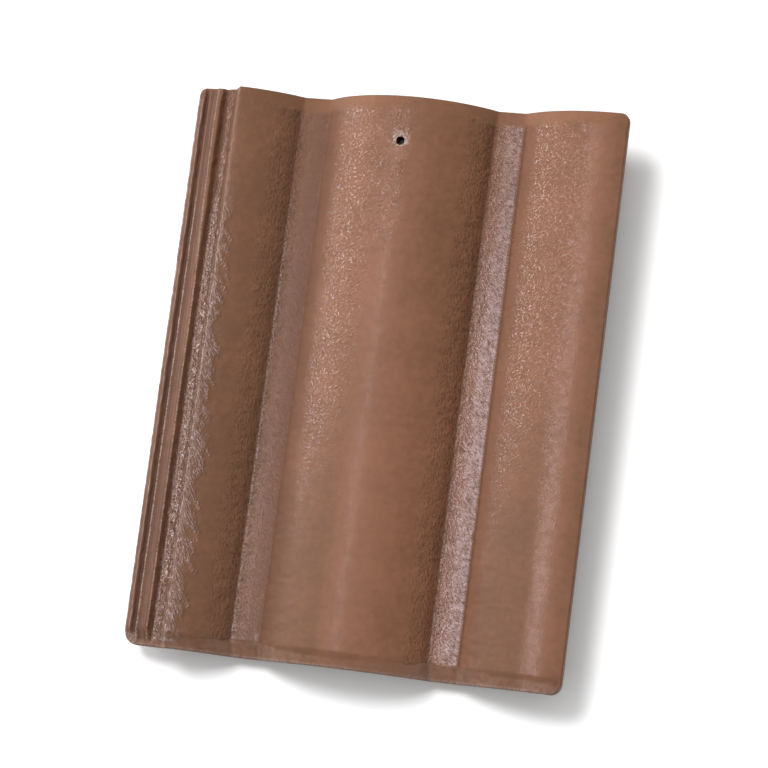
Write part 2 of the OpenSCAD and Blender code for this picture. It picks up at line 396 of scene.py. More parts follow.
def upper_face(s, d, x, y):
    """Height of the upper face: the section or the sloped and eased blank, whichever is lower,
    with the coat's waves and wrinkles added and the outline's edge rounded off."""
    grain = grain_mask(s, d, x, y)
    lock = 1 - rise(x, d.ledge_end, 12 * MM)
    ragged = 1 + 1.5 * band(x, d.ledge_foot, d.roll_start + 1 * MM, 1.5 * MM) * tail_part(y)
    wander = 0.35 * MM * lattice_noise(x, y, 6 * MM, 3.2 * MM, 31)
    wander += 0.3 * MM * lattice_noise(x, y, 3 * MM, 1.8 * MM, 32)
    wander *= ragged * grain
    face = np.interp(x + wander, d.line, d.face)
    blank = np.interp(x + wander, d.line, d.blank)
    ease = 0.05
    nose = (s.nose_length - y) / s.nose_length
    head = (y - s.tile_length + s.head_band) / s.head_band
    fall = s.nose_drop * (nose + np.hypot(nose, ease)) / 2
    fall += s.head_drop * (head + np.hypot(head, ease)) / 2
    z = np.minimum(face, blank - fall)

    swell = 0.08 * MM * lattice_noise(x, y, 45 * MM, 90 * MM, 41)
    lumps = 0.05 * MM * lattice_noise(x, y, 5.5 * MM, 6.5 * MM, 42)
    wrinkles = 0.12 * MM * lattice_noise(x - 0.2 * y, y, 4 * MM, 8 * MM, 43) * right_feet(d, x)
    ledge = band(x, d.ledge_foot, d.ledge_end, 1.5 * MM)
    rough = 0.22 * MM * lattice_noise(x, y, 2.4 * MM, 2.8 * MM, 44) * ledge
    z = z + swell + (lumps + wrinkles) * grain * (1 - 0.6 * lock) + rough * grain
    chip = chip_field(s, d, x, y)
    broken = 0.5 + 0.5 * lattice_noise(x, y, 1.5 * MM, 1.5 * MM, 45)
    z = z - chip * (0.25 + 0.7 * broken) * MM
    return z - quarter_round(edge_distance(s, x, y), s.edge_round)


def lower_face(s, d, x, y):
    """Height of the underside: its section, with the weather bars and the nibs let down from it
    and the outline's edge rounded off."""
    z = np.interp(x, d.line, d.under)
    bar = wave_height(d, x, s.thickness + s.bar_depth)
    across = (x > d.bar_ends[0]) & (x < d.bar_ends[1])
    for start in d.bars:
        z = np.where(across & (y > start) & (y < start + s.bar_width), np.minimum(z, bar), z)
    back = d.nib_tail + s.nib_length
    nib = np.interp(y, [back - s.nib_back_run, back], [-s.thickness - s.nib_depth, -s.thickness])
    for pan in d.pans:
        inside = (np.abs(x - pan) < s.nib_width / 2) & (y > d.nib_tail) & (y < back)
        z = np.where(inside, np.minimum(z, nib), z)
    pores = 0.06 * MM * (1 + lattice_noise(x, y, 7 * MM, 7 * MM, 51))
    return z + pores + quarter_round(edge_distance(s, x, y), s.under_round)


def fill(breaks, step):
    """Stations from the first break to the last, through every break, no further apart than step."""
    runs = [
        np.linspace(a, b, max(1, math.ceil((b - a) / step - 1e-6)) + 1)[:-1]
        for a, b in zip(breaks[:-1], breaks[1:])
    ]
    return np.concatenate([*runs, breaks[-1:]])


def grid_stations(s, d):
    """Rows along the tile and columns across its upper face and underside.

    Rows follow the corner circles at both ends, stand close at the steps of bars and nibs, and
    keep a block of cells free round the nail hole. Returns rows, upper columns, lower columns,
    and the first row, upper column and lower column of that block with its number of cells.
    """
    cells = 12
    lip, half = 0.3 * MM, 10 * MM
    nose_step, row_step, head_step = 0.9 * MM, 1.75 * MM, 1.6 * MM
    lock_step, roll_step = 0.6 * MM, 1.7 * MM
    plate_step, tie_step, under_step, rib_step = 11 * MM, 2 * MM, 6.5 * MM, 1.1 * MM

    tail_turn, head_turn = (np.linspace(0, math.pi / 2, count) for count in (12, 9))
    tail_rows = s.tail_radius * (1 - np.cos(tail_turn))
    head_rows = s.tile_length - s.head_radius * (1 - np.cos(head_turn))[::-1]
    nose_end = s.nose_length + 2 * MM
    bar_sides = [y for start in d.bars for y in (start, start + s.bar_width)]
    steps = [y + side for y in bar_sides for side in (-lip, lip)]
    back = d.nib_tail + s.nib_length
    below = round(cells * (d.nib_tail - d.nail[1] + half) / (2 * half)) - 1
    block = np.concatenate(
        [
            np.linspace(d.nail[1] - half, d.nib_tail - lip, below + 1),
            np.linspace(d.nib_tail + lip, d.nail[1] + half, cells - below),
        ]
    )
    nib_back = [back - s.nib_back_run, back - lip, back + lip]
    rows = np.concatenate(
        [
            tail_rows[:-1],
            fill([tail_rows[-1], nose_end], nose_step)[:-1],
            fill([nose_end, *steps, block[0]], row_step)[:-1],
            block[:-1],
            fill([block[-1], *nib_back, head_rows[0]], head_step)[:-1],
            head_rows,
        ]
    )

    edge = np.array([0, 0.06, 0.25, 0.55, 1, 1.6]) * s.edge_round
    cover_edge = s.tile_width - edge[::-1]
    block_x = np.linspace(d.nail[0] - half, d.nail[0] + half, cells + 1)
    lock_end = d.roll_start + 1 * MM
    beside = np.array([-1.4, -0.7, 0, 0.7, 1.4]) * MM
    first_feet, second_feet = (
        [x for side in (-1, 1) for x in pan + side * s.pan_width / 2 + beside] for pan in d.pans
    )
    upper = np.concatenate(
        [
            edge[:-1],
            fill([edge[-1], lock_end], lock_step)[:-1],
            fill([lock_end, *first_feet, block_x[0]], roll_step)[:-1],
            block_x[:-1],
            fill([block_x[-1], *second_feet, cover_edge[0]], roll_step)[:-1],
            cover_edge,
        ]
    )

    low_edge = edge[[0, 2, 4]]
    nib = s.nib_width / 2
    nib_sides = np.array([-nib - lip, -nib + lip, nib - lip, nib + lip])
    first_nib, second_nib = (pan + nib_sides for pan in d.pans)
    bar_start, bar_end = ((end - lip, end + lip) for end in d.bar_ends)
    block_low = np.linspace(d.nail[0] - 1.2 * half, d.nail[0] + 1.2 * half, cells + 1)
    ribs = d.cover_width + d.outer_groove - 1 * MM
    lower = np.concatenate(
        [
            low_edge,
            fill([10 * MM, d.ledge_end - 0.6 * MM], plate_step),
            fill([d.ledge_end + 0.6 * MM, d.roll_start + s.thickness / 2], tie_step),
            fill([*bar_start, *first_nib, block_low[0]], under_step)[:-1],
            block_low[:-1],
            fill([block_low[-1], *second_nib, *bar_end, ribs], under_step)[:-1],
            fill([ribs, s.tile_width - 1.8 * MM], rib_step),
            s.tile_width - low_edge[::-1],
        ]
    )
    starts = ((rows, block[0]), (upper, block_x[0]), (lower, block_low[0]))
    found = [int(np.argmin(np.abs(stations - start))) for stations, start in starts]
    return rows, upper, lower, (*found, cells)


def plan_grid(s, rows, columns):
    """Grid of plan points whose outer columns bend in along the corner circles."""
    inset = plan_inset(s, rows)[:, None]
    y, x = np.meshgrid(rows, columns, indexing="ij")
    zone = 26 * MM
    x = x + inset * np.clip(1 - x / zone, 0, 1)
    x = x - inset * np.clip(1 - (s.tile_width - x) / zone, 0, 1)
    return x, y


def grid_quads(index, hole, cells, facing_up):
    """Quads of a grid of point numbers, left open over the block of cells at the hole."""
    a, b, c, e = index[:-1, :-1], index[:-1, 1:], index[1:, 1:], index[1:, :-1]
    quads = np.stack([a, b, c, e] if facing_up else [a, e, c, b], axis=-1)
    keep = np.ones(quads.shape[:2], bool)
    keep[hole[0] : hole[0] + cells, hole[1] : hole[1] + cells] = False
    return quads[keep]


def block_rim(index, hole, cells):
    """Point numbers round the open block, anticlockwise from above."""
    r, c = hole
    near, far = index[r, c : c + cells], index[r + cells, c + 1 : c + cells + 1][::-1]
    right, left = index[r : r + cells, c + cells], index[r + 1 : r + cells + 1, c][::-1]
    return np.concatenate([near, right, far, left])


def ring_quads(outer, inner):
    """Quads between two closed rings of point numbers, facing up where the outer one runs
    anticlockwise seen from above."""
    return np.stack([outer, np.roll(outer, -1), np.roll(inner, -1), inner], axis=1)


def tile_surface(s, d):
    """Points, quads and the two flat end faces of the closed tile.

    Two height fields over one plan make the upper face and the underside. Strips join them along
    the sides and a flat face at each end, and rings lead from both into the bore of the nail hole.
    """
    rows, upper, lower, (row, up_col, low_col, cells) = grid_stations(s, d)
    x, y = plan_grid(s, rows, upper)
    top = np.stack([x, y, upper_face(s, d, x, y)], axis=-1).reshape(-1, 3)
    low_x, low_y = plan_grid(s, rows, lower)
    bottom = np.stack([low_x, low_y, lower_face(s, d, low_x, low_y)], axis=-1).reshape(-1, 3)
    up = np.arange(len(top)).reshape(len(rows), len(upper))
    low = np.arange(len(bottom)).reshape(len(rows), len(lower)) + len(top)
    points = [top, bottom]
    count = len(top) + len(bottom)
    rim_up = block_rim(up, (row, up_col), cells)
    rim_low = block_rim(low, (row, low_col), cells)
    quads = [
        grid_quads(up, (row, up_col), cells, True),
        grid_quads(low, (row, low_col), cells, False),
        np.stack([up[:-1, 0], up[1:, 0], low[1:, 0], low[:-1, 0]], axis=1),
        np.stack([up[:-1, -1], low[:-1, -1], low[1:, -1], up[1:, -1]], axis=1),
    ]

    corner = top[rim_up, :2] - d.nail
    angle = np.arctan2(corner[:, 1], corner[:, 0])
    bore_radius = s.nail_hole_d / 2 * (1 + 0.03 * np.sin(3 * angle + 0.6) + 0.02 * np.sin(7 * angle))
    bore = d.nail + bore_radius[:, None] * np.stack([np.cos(angle), np.sin(angle)], axis=1)

    def rings_in(start, shares, face):
        """Rings on a face, at the given shares of the way from the block's rim to the bore."""
        at = start + (bore - start) * np.array(shares)[:, None, None]
        return np.concatenate([at, face(s, d, at[..., 0], at[..., 1])[..., None]], axis=-1)

    closing_in = (0.2, 0.38, 0.53, 0.66, 0.77, 0.86, 0.94, 1.0)
    up_rings = rings_in(top[rim_up, :2], closing_in, upper_face)
    low_rings = rings_in(bottom[rim_low - len(top), :2], (1.0, 0.75, 0.45), lower_face)
    depth = np.linspace(0, 1, 8)[1:-1]
    wall = up_rings[-1] + (low_rings[0] - up_rings[-1]) * depth[:, None, None]
    pits = lattice_noise(angle * 3 * MM + 0.1, wall[..., 2], 2 * MM, 2 * MM, 61)
    wall[..., :2] += 0.12 * MM * pits[..., None]
    rings = np.concatenate([up_rings, wall, low_rings])
    points.append(rings.reshape(-1, 3))
    numbers = [rim_up, *(count + np.arange(rings[..., 0].size).reshape(rings.shape[:2])), rim_low]
    quads += [ring_quads(a, b) for a, b in zip(numbers[:-1], numbers[1:])]
    ends = [np.concatenate([low[0], up[0, ::-1]]), np.concatenate([up[-1], low[-1, ::-1]])]
    is_coated = np.zeros(count + rings[..., 0].size, bool)
    is_coated[: len(top)] = True
    is_coated[count : count + up_rings[..., 0].size] = True
    return np.concatenate(points), np.concatenate(quads), ends, is_coated


def coat_zones(s, d, x, y, is_coated):
    """Parts of the upper face that the coat treats alike, each from 0 to 1.

    Zones across the tile are soft bands in X, set off from the pans, the crests and the lock's
    corners. Zones along it are smooth steps in Y. Slanted noise moves the hairs' right limit, and
    noise breaks up the patch beside the nail hole.
    """
    half = s.pan_width / 2
    z = SimpleNamespace()
    z.grain = grain_mask(s, d, x, y) * is_coated
    z.nose = (1 - z.grain) * (y < s.nose_length + 2 * MM)
    z.edge = edge_distance(s, x, y)
    z.tail_part = tail_part(y)
    z.head_part = rise(y, 230 * MM, 140 * MM)
    z.headward = rise(y, 60 * MM, 200 * MM)
    z.tailward = 1 - z.headward
    z.first_pan, z.second_pan = (band(x, pan - half, pan + half - 0.7 * MM, 0.7 * MM) for pan in d.pans)
    z.left_flanks = sum(strip(x, crest, -46, -20, 14) for crest in d.crests[1:])
    z.crests = sum(strip(x, crest, -13, -1, 8) for crest in d.crests[1:])
    z.near_nail = strip(x, d.nail[0], -8, 4, 10) * rise(y, 270 * MM, 90 * MM)
    z.near_nail *= 0.6 + 0.6 * lattice_noise(x, y, 7 * MM, 9 * MM, 71)
    z.outer_rib = band(x, -1 * MM, d.outer_groove - 1 * MM, 1 * MM)
    z.ledge = band(x, d.ledge_foot, d.ledge_end, 1 * MM)
    z.rough_ledge = band(x, d.ledge_foot, d.ledge_end + 2 * MM, 1.5 * MM)
    strands = lattice_noise(0.82 * x + 0.57 * y, 0.82 * y - 0.57 * x, 3 * MM, 9 * MM, 72)
    hairs_end = d.roll_start + (5 + 4 * z.tailward + 6 * strands) * MM
    z.hairs = band(x, d.ledge_end + 1 * MM, hairs_end, 4 * MM)
    return z


def tone_and_painted_light_share(s, d, x, y, z):
    """Share of the red brown: low on the lock and the first pan, high from the centre roll on, and lower
    at the cover edge and beside the centre crest and the second pan towards the head. It also carries
    painted light: lowered as painted shade on the tail's left flanks, and on the nose band raised as
    painted light but lowered as painted shade over the second pan and the flanks' feet right of the
    pans."""
    half = s.pan_width / 2
    # Painted shade: less red, darker, on the tail's left flanks
    tone_and_painted_light = 0.1 + 0.7 * rise(x, d.pans[0] + 4.25 * MM, 30 * MM) - 0.7 * z.left_flanks * z.tailward
    tone_and_painted_light -= 0.45 * rise(x, d.crests[2], 12 * MM)
    crest, pan = d.crests[1], d.pans[1]
    tone_and_painted_light -= 0.2 * strip(x, crest, -16, 4, 10) * rise(y, 290 * MM, 80 * MM)
    tone_and_painted_light -= 0.35 * band(x, crest + 18 * MM, pan, 20 * MM) * rise(y, 180 * MM, 150 * MM)
    # Painted light raises the nose band, which faces away from the lamps; painted shade lowers it over
    # the second pan and the foot beside it
    tone_and_painted_light += z.nose * (0.35 - 0.7 * band(x, pan - half, pan + half + 8 * MM, 12 * MM))
    # Painted shade on the nose band at the flanks' feet right of each pan
    for right in d.pans + half:
        tone_and_painted_light -= 0.5 * z.nose * strip(x, right, 0, 10, 5)
    return tone_and_painted_light


def film_share(s, d, x, z):
    """Clear film on the coat: thick on the pans, the outer rib, the ledge and the hairs, thin on the
    crests and the nose, and broken along the corner between ledge and shoulder."""
    across = 1 - 0.85 * rise(x, d.pans[0] - s.pan_width / 2, 0.7 * s.pan_width)
    film = 0.05 * (1 - z.left_flanks) + z.outer_rib
    film += z.first_pan * across * (0.02 + 0.25 * z.tail_part + 0.2 * z.tailward)
    film += z.second_pan * (0.62 - 0.36 * z.head_part)
    film += z.crests * (0.04 + (0.08 * z.tail_part + 0.1 * z.tailward) * (x > d.pans[1]))
    film += (0.7 * z.ledge + 0.75 * z.hairs) * z.tail_part
    film *= 1 - 0.8 * strip(x, d.ledge_end, 0, 2, 0.8)
    film = np.clip(film, 0, 1) * (0.15 + 0.85 * z.grain)
    return film + 0.25 * z.nose * (x > d.roll_start + 5 * MM)


def pooling_and_shade_share(s, d, x, y, z):
    """Coat run together, with painted shade: deep in the grooves, fainter at the rolls' feet, on the
    lock's flats and ledge and on the pans, and a dark line along the outline that is strongest at the
    tail, the head and the lock side."""
    half = s.pan_width / 2
    grooves = band(x, d.outer_groove + 1 * MM, d.inner_rib - 0.8 * MM, 0.6 * MM)
    grooves += band(x, d.inner_groove + s.inner_wall_run, d.ledge_foot - 0.3 * MM, 0.6 * MM)
    flats = 0.45 * band(x, d.inner_rib + 1.2 * MM, d.inner_groove - s.inner_rib_crest - 1 * MM, 1 * MM)
    flats += 0.35 * strip(x, d.inner_groove, -3, -1.4, 0.7) * z.tailward
    flats += z.ledge * (0.35 - 0.25 * z.tail_part) + 0.1 * z.second_pan + 0.15 * z.first_pan * z.headward
    feet = 0
    for pan, line in zip(d.pans, (0.15, 0.4)):
        left, right = pan - half, pan + half
        feet += 0.25 * strip(x, left, -4, -1.2, 3)
        feet += line * strip(x, right, 0.8, 2, 1.2)
        feet += 0.25 * strip(x, right, 0, 6, 14)
    edge_zone = 4 * MM
    inside = (x > edge_zone) & (y > edge_zone) & (y < s.tile_length - edge_zone)
    rim = (0.65 - 0.2 * inside) * (1 - rise(z.edge, 0.2 * MM, 0.6 * MM))
    return np.clip((0.9 * grooves + feet + flats) * z.grain + rim, 0, 1)


def painted_highlight_lines(s, d, x, y, z):
    """Painted highlight lines along the lock's ridges, the shoulder's top at the head and the pans' left
    edges.
    """
    near_tail = 1 - rise(y, 310 * MM, 40 * MM)
    crest_line = d.inner_groove - (0.5 + 2.3 * rise(y, 250 * MM, 120 * MM)) * MM
    lines = strip(x, d.inner_rib, 0.2, 0.8, 0.5) * near_tail
    lines += 0.8 * strip(x, d.ledge_foot, 0.8, 2, 0.7) * near_tail
    lines += 0.8 * strip(x, crest_line, -0.3, 0.3, 0.4)
    lines += 0.6 * strip(x, d.roll_start, -1.6, -1, 0.5) * rise(y, 290 * MM, 50 * MM)
    for left in d.pans - s.pan_width / 2:
        lines += (0.1 + 0.6 * z.tail_part) * strip(x, left, -0.3, 0.5, 0.7)
    return lines


def tail_painted_highlights(s, d, x, y, z):
    """Painted highlights at the tail: a line inside the edge, both corners of the tile, the hairs' end
    and the first pan's two corners."""
    left, right = d.pans[0] - s.pan_width / 2, d.pans[0] + s.pan_width / 2
    edge_line = strip(z.edge, 0, 1, 1.8, 0.6) * (y < 4 * MM)
    painted_highlights = z.nose * (0.6 * edge_line + 0.3 * strip(x, s.tile_width, -26, -14, 6))
    painted_highlights += strip(x, 0, 3, 8, 2) * (1 - rise(y, 6 * MM, 4 * MM))
    hairs = band(x, d.ledge_foot + 1 * MM, d.roll_start + 7 * MM, 2 * MM)
    painted_highlights += 0.7 * hairs * strip(y, 0, 5.5, 7, 1)
    painted_highlights += 0.6 * strip(x, left, 0, 1, 1) * strip(y, 0, 13, 24, 5)
    pan_corner = strip(x, right, -3.5, -2, 1.5) * strip(y, 0, 13, 17, 4)
    return painted_highlights + 0.6 * pan_corner * z.grain


def wear_and_painted_sheen_share(s, x, y, z):
    """Paler coat, where the edges are rubbed and where highlights and sheen are painted: a line inside
    the tail's edge, both tail corners, the outer rib and the nose.
    """
    wear_and_painted_sheen = strip(z.edge, 0, 1.3, 2.1, 0.8) * (y < s.nose_length)
    wear_and_painted_sheen += 1.5 * strip(x, 0, 2, 8, 3) * (1 - rise(y, 5 * MM, 5 * MM))
    wear_and_painted_sheen += 0.8 * strip(x, s.tile_width, -28, -12, 8) * (y < 8 * MM)
    return np.clip(wear_and_painted_sheen + 0.4 * z.outer_rib + 0.6 * z.nose, 0, 1)


def surface_marks(s, d, points, is_coated):
    """Values on the points for the material: where the coat lies and shines, where it has run together
    or rubbed through, where shade, sheen and highlights are painted into it, and where each kind of
    relief in it is found."""
    x, y, _ = points.T
    z = coat_zones(s, d, x, y, is_coated)
    in_bore = ~is_coated & (np.hypot(x - d.nail[0], y - d.nail[1]) < 0.55 * s.nail_hole_d)
    lines = painted_highlight_lines(s, d, x, y, z)
    pebbles = z.first_pan * (0.1 + 0.15 * z.tail_part + 0.25 * z.tailward)
    pebbles += z.second_pan * (1 - 0.2 * z.head_part) + 0.5 * z.outer_rib
    strokes = z.left_flanks * (0.04 + 0.96 * z.headward) + 0.9 * z.near_nail + 0.2 * z.crests
    return {
        "coat": is_coated | in_bore,
        # Share of red, with painted light on the nose and painted shade on some flanks
        "tone_and_painted_light": tone_and_painted_light_share(s, d, x, y, z),
        "film": film_share(s, d, x, z),
        "strokes": strokes * z.grain,
        "wrinkles": (right_feet(d, x) + 0.4 * z.first_pan) * z.grain,
        "pebbles": pebbles * z.grain,
        "crags": np.clip(z.rough_ledge * (0.45 + 0.55 * z.tail_part) + 0.5 * lines, 0, 1) * z.grain,
        "hairs": z.hairs * (0.1 + 0.9 * z.tail_part) * z.grain,
        # Painted shade: grooves, creases, the rolls' feet and the nail hole's bore darkened where shade
        # falls, with coat run together
        "pooling_and_shade": pooling_and_shade_share(s, d, x, y, z) * is_coated + in_bore,
        # Painted highlights along the lock's ridges, the pans' edges and at the tail
        "painted_highlights": np.clip(lines, 0, 1) * z.grain + tail_painted_highlights(s, d, x, y, z) * is_coated,
        # Wear with painted highlights and sheen on the tail's edge and corners, the outer rib and the
        # nose
        "wear_and_painted_sheen": wear_and_painted_sheen_share(s, x, y, z) * is_coated,
        "chip": chip_field(s, d, x, y) * is_coated,
    }


def mesh_of(name, points, quads, ends):
    """Mesh from whole arrays, without the points that no face uses."""
    corners = np.concatenate([quads.ravel(), *ends])
    sizes = np.concatenate([np.full(len(quads), 4), [len(e) for e in ends]])
    starts = np.concatenate([[0], np.cumsum(sizes)[:-1]])
    used, corners = np.unique(corners, return_inverse=True)
    mesh = bpy.data.meshes.new(name)
    mesh.vertices.add(len(used))
    mesh.vertices.foreach_set("co", points[used].astype(np.float32).ravel())
    mesh.loops.add(len(corners))
    mesh.loops.foreach_set("vertex_index", corners.astype(np.int32))
    mesh.polygons.add(len(sizes))
    mesh.polygons.foreach_set("loop_start", starts.astype(np.int32))
    mesh.polygons.foreach_set("use_smooth", np.ones(len(sizes), bool))
    mesh.update(calc_edges=True)
    mesh.set_sharp_from_angle(angle=math.radians(50))
    return mesh, used


def cleared_tree(owner):
    """Node tree of a new material or world, without the nodes it starts with."""
    owner.use_nodes = True
    owner.node_tree.nodes.clear()
    return owner.node_tree


def add_node(tree, kind, inputs=(), **settings):
    """Adds a shader node with its settings, and fills its inputs with values or links.

    Inputs are named, or stand in the node's own order: a Map Range has its value, the two ends of
    the range and what those become. A node given as an input stands for its first output.
    """
    node = tree.nodes.new("ShaderNode" + kind)
    for name, value in settings.items():
        setattr(node, name, value)
    named = inputs if isinstance(inputs, dict) else dict(enumerate(inputs))
    for name, value in named.items():
        if isinstance(value, bpy.types.Node):
            value = value.outputs[0]
        if isinstance(value, bpy.types.NodeSocket):
            tree.links.new(value, node.inputs[name])
        else:
            node.inputs[name].default_value = value
    return node


def coated_concrete(finish, mark_names):
    """Concrete sprayed with a semi-gloss acrylic coat while green, then cured.

    The coat drapes over sand grains and dries in short wrinkles, so soft boxes break up into glints on
    it, and its brown drifts between redder and duller patches. Shade is painted into its grooves,
    creases and low places, and highlights and sheen onto some edges and the nose. Below, the concrete is
    bare and matt.
    """
    material = bpy.data.materials.new("Coated concrete")
    tree = cleared_tree(material)
    place = add_node(tree, "TexCoord").outputs["Object"]
    mark = {
        name: add_node(tree, "Attribute", attribute_name=name).outputs["Fac"] for name in mark_names
    }
    grains = {}
    for name, size, detail in (("patches", 38, 3), ("mottle", 5, 4), ("sand", 1.6, 3)):
        grain = {"Vector": place, "Scale": 1 / (size * MM), "Detail": detail, "Roughness": 0.6}
        grains[name] = add_node(tree, "TexNoise", grain)

    # Bare concrete shows its sand; the coat's film is patchy, and creases hold coat run together and
    # painted shade
    uncoated = add_node(tree, "Math", (1.0, mark["coat"]), operation="SUBTRACT")
    relief = add_node(tree, "Math", (grains["sand"], uncoated), operation="MULTIPLY")
    relief = add_node(tree, "Math", (relief, 0.5 * MM), operation="MULTIPLY")
    patchy = add_node(tree, "MapRange", (grains["mottle"], 0.35, 0.65, 0.5, 1.5))
    film = add_node(tree, "Math", (patchy, mark["film"]), operation="MULTIPLY")
    pooling_and_painted_shade = mark["pooling_and_shade"]

    # Each kind of relief raises the coat, shines on its tops and darkens its low places with painted
    # shade, by dark. Width and depth are in mm, the turn in degrees; tops begin at start, a level of the
    # noise.
    for name, width, stretch, turn, depth, shine, start, dark in (
        ("strokes", 1.3, 1.7, -45, 0.55, 1.0, 0.52, 0.2),
        ("wrinkles", 1.7, 1.6, 14, 0.9, 0.05, 0.5, 0.3),
        ("pebbles", 1.15, 2.4, 65, 0.22, 0.5, 0.46, 0.55),
        ("crags", 1.5, 1.8, -35, 1.0, 1.0, 0.5, 0.9),
        ("hairs", 1.3, 3.6, 35, 0.8, 1.0, 0.5, 0.4),
    ):
        full_shine, hollow, full_hollow = start + 0.1, start - 0.02, start - 0.14
        size = (width * MM, width * stretch * MM, width * MM)
        lie = {"Vector": place, "Rotation": (0, 0, math.radians(turn)), "Scale": size}
        turned = add_node(tree, "Mapping", lie, vector_type="TEXTURE")
        bumps = add_node(tree, "TexNoise", {"Vector": turned, "Scale": 1.0, "Detail": 2.0})
        height = add_node(tree, "Math", (mark[name], depth * MM), operation="MULTIPLY")
        relief = add_node(tree, "Math", (bumps, height, relief), operation="MULTIPLY_ADD")
        tops = add_node(tree, "MapRange", (bumps, start, full_shine, 0, shine))
        film = add_node(tree, "Math", (tops, mark[name], film), operation="MULTIPLY_ADD")
        painted_hollow_shade = add_node(tree, "MapRange", (bumps, full_hollow, hollow, dark, 0))
        pooling_and_painted_shade = add_node(
            tree, "Math", (painted_hollow_shade, mark[name], pooling_and_painted_shade), operation="MULTIPLY_ADD", use_clamp=True
        )

    # The brown drifts with wide patches and fine mottle about each place's share of red, which also
    # carries painted light and shade
    drift = add_node(tree, "Math", (grains["patches"], grains["mottle"]), operation="ADD")
    drift = add_node(tree, "MapRange", (drift, 0.75, 1.25, -0.3, 0.3))
    drift = add_node(tree, "Math", (drift, mark["tone_and_painted_light"]), operation="ADD", use_clamp=True)
    browns = {FACTOR: drift, COLOUR_A: (*finish.coat_brown, 1), COLOUR_B: (*finish.coat_red, 1)}
    skin = add_node(tree, "Mix", browns, data_type="RGBA")

    # Wear with painted sheen, chips and painted highlights take only the grains that stand up
    spots = {}
    for name, grain, start, end, most in (
        ("wear_and_painted_sheen", "mottle", 0.3, 0.8, 0.6),
        ("chip", "sand", 0.38, 0.58, 1.0),
        ("painted_highlights", "sand", 0.4, 0.62, 0.8),
    ):
        standing = add_node(tree, "MapRange", (grains[grain], start, end, 0, most))
        spots[name] = add_node(tree, "Math", (standing, mark[name]), operation="MULTIPLY")
    # Coat run together with painted shade, wear with painted highlights and sheen, painted highlight
    # lines, bare concrete and chips go over the brown
    for share, tint in (
        (pooling_and_painted_shade, finish.pooled_and_shade),
        (spots["wear_and_painted_sheen"], finish.wear_and_painted_sheen),
        (spots["painted_highlights"], finish.chipped_and_highlight),
        (uncoated, finish.concrete),
        (spots["chip"], finish.chipped_and_highlight),
    ):
        tinted = {FACTOR: share, COLOUR_A: skin.outputs[MIXED_COLOUR], COLOUR_B: (*tint, 1)}
        skin = add_node(tree, "Mix", tinted, data_type="RGBA")

    gloss = add_node(tree, "MapRange", (grains["mottle"], 0, 1, 0.5, 0.65))
    for share, level in ((uncoated, 0.85), (spots["chip"], 0.6)):
        gloss = add_node(
            tree, "Mix", {FACTOR: share, VALUE_A: gloss, VALUE_B: level}, data_type="FLOAT"
        )

    bump = add_node(tree, "Bump", {"Height": relief, "Distance": 1.0})
    shader = add_node(
        tree,
        "BsdfPrincipled",
        {
            "Base Color": skin.outputs[MIXED_COLOUR],
            "Roughness": gloss,
            "Specular IOR Level": 0.3,
            "Normal": bump,
            "Coat Weight": film,
            "Coat Roughness": 0.14,
            "Coat Normal": bump,
        },
    )
    add_node(tree, "OutputMaterial", {"Surface": shader})
    return material


def seen_rays(tree):
    """1 for rays that show the backdrop: from the camera, from a gloss, or through glass."""
    ray = add_node(tree, "LightPath").outputs
    seen = ray["Is Camera Ray"]
    for name in ("Is Glossy Ray", "Is Transmission Ray"):
        seen = add_node(tree, "Math", (seen, ray[name]), operation="MAXIMUM")
    return seen


def studio_floor(colour_of_floor, width, depth):
    """Seamless paper: a matt white with a painted glow, for the camera and in gloss, that lifts it to
    white away from the tile.

    The glow starts past a box a little smaller than the tile, so that the shadow stays. Inside that box
    the paper's colour is grey as painted shade, so that the nail hole looks dark.
    """
    box_centre = (8 * MM, 3 * MM, 0)
    box_half = (width / 2 - 40 * MM, depth / 2 - 23 * MM, 0)
    zero = (0, 0, 0)
    lift_run, most_lift = 65 * MM, 0.48
    shade_run, painted_shade_grey = 28 * MM, (0.1, 0.1, 0.1, 1)
    material = bpy.data.materials.new("Seamless paper")
    tree = cleared_tree(material)
    gap = add_node(tree, "TexCoord").outputs["Object"]
    for operation, amount in (
        ("SUBTRACT", box_centre),
        ("ABSOLUTE", zero),
        ("SUBTRACT", box_half),
        ("MAXIMUM", zero),
    ):
        gap = add_node(tree, "VectorMath", (gap, amount), operation=operation)
    gap = add_node(tree, "VectorMath", (gap,), operation="LENGTH").outputs["Value"]
    # Painted glow, growing with the distance past the box
    lift = add_node(tree, "MapRange", (gap, 0, lift_run, 0, most_lift))
    lift = add_node(tree, "Math", (seen_rays(tree), lift), operation="MULTIPLY")
    glow = add_node(tree, "Emission", {"Strength": lift})
    # Painted shade: grey paper inside the box, fading to the floor's colour over shade_run
    bare = add_node(tree, "MapRange", (gap, 0, shade_run), interpolation_type="SMOOTHSTEP")
    tints = {FACTOR: bare, COLOUR_A: painted_shade_grey, COLOUR_B: (*colour_of_floor, 1)}
    tint = add_node(tree, "Mix", tints, data_type="RGBA").outputs[MIXED_COLOUR]
    paper = add_node(tree, "BsdfDiffuse", {"Color": tint})
    both = add_node(tree, "AddShader", (paper, glow))
    add_node(tree, "OutputMaterial", {"Surface": both})
    return material


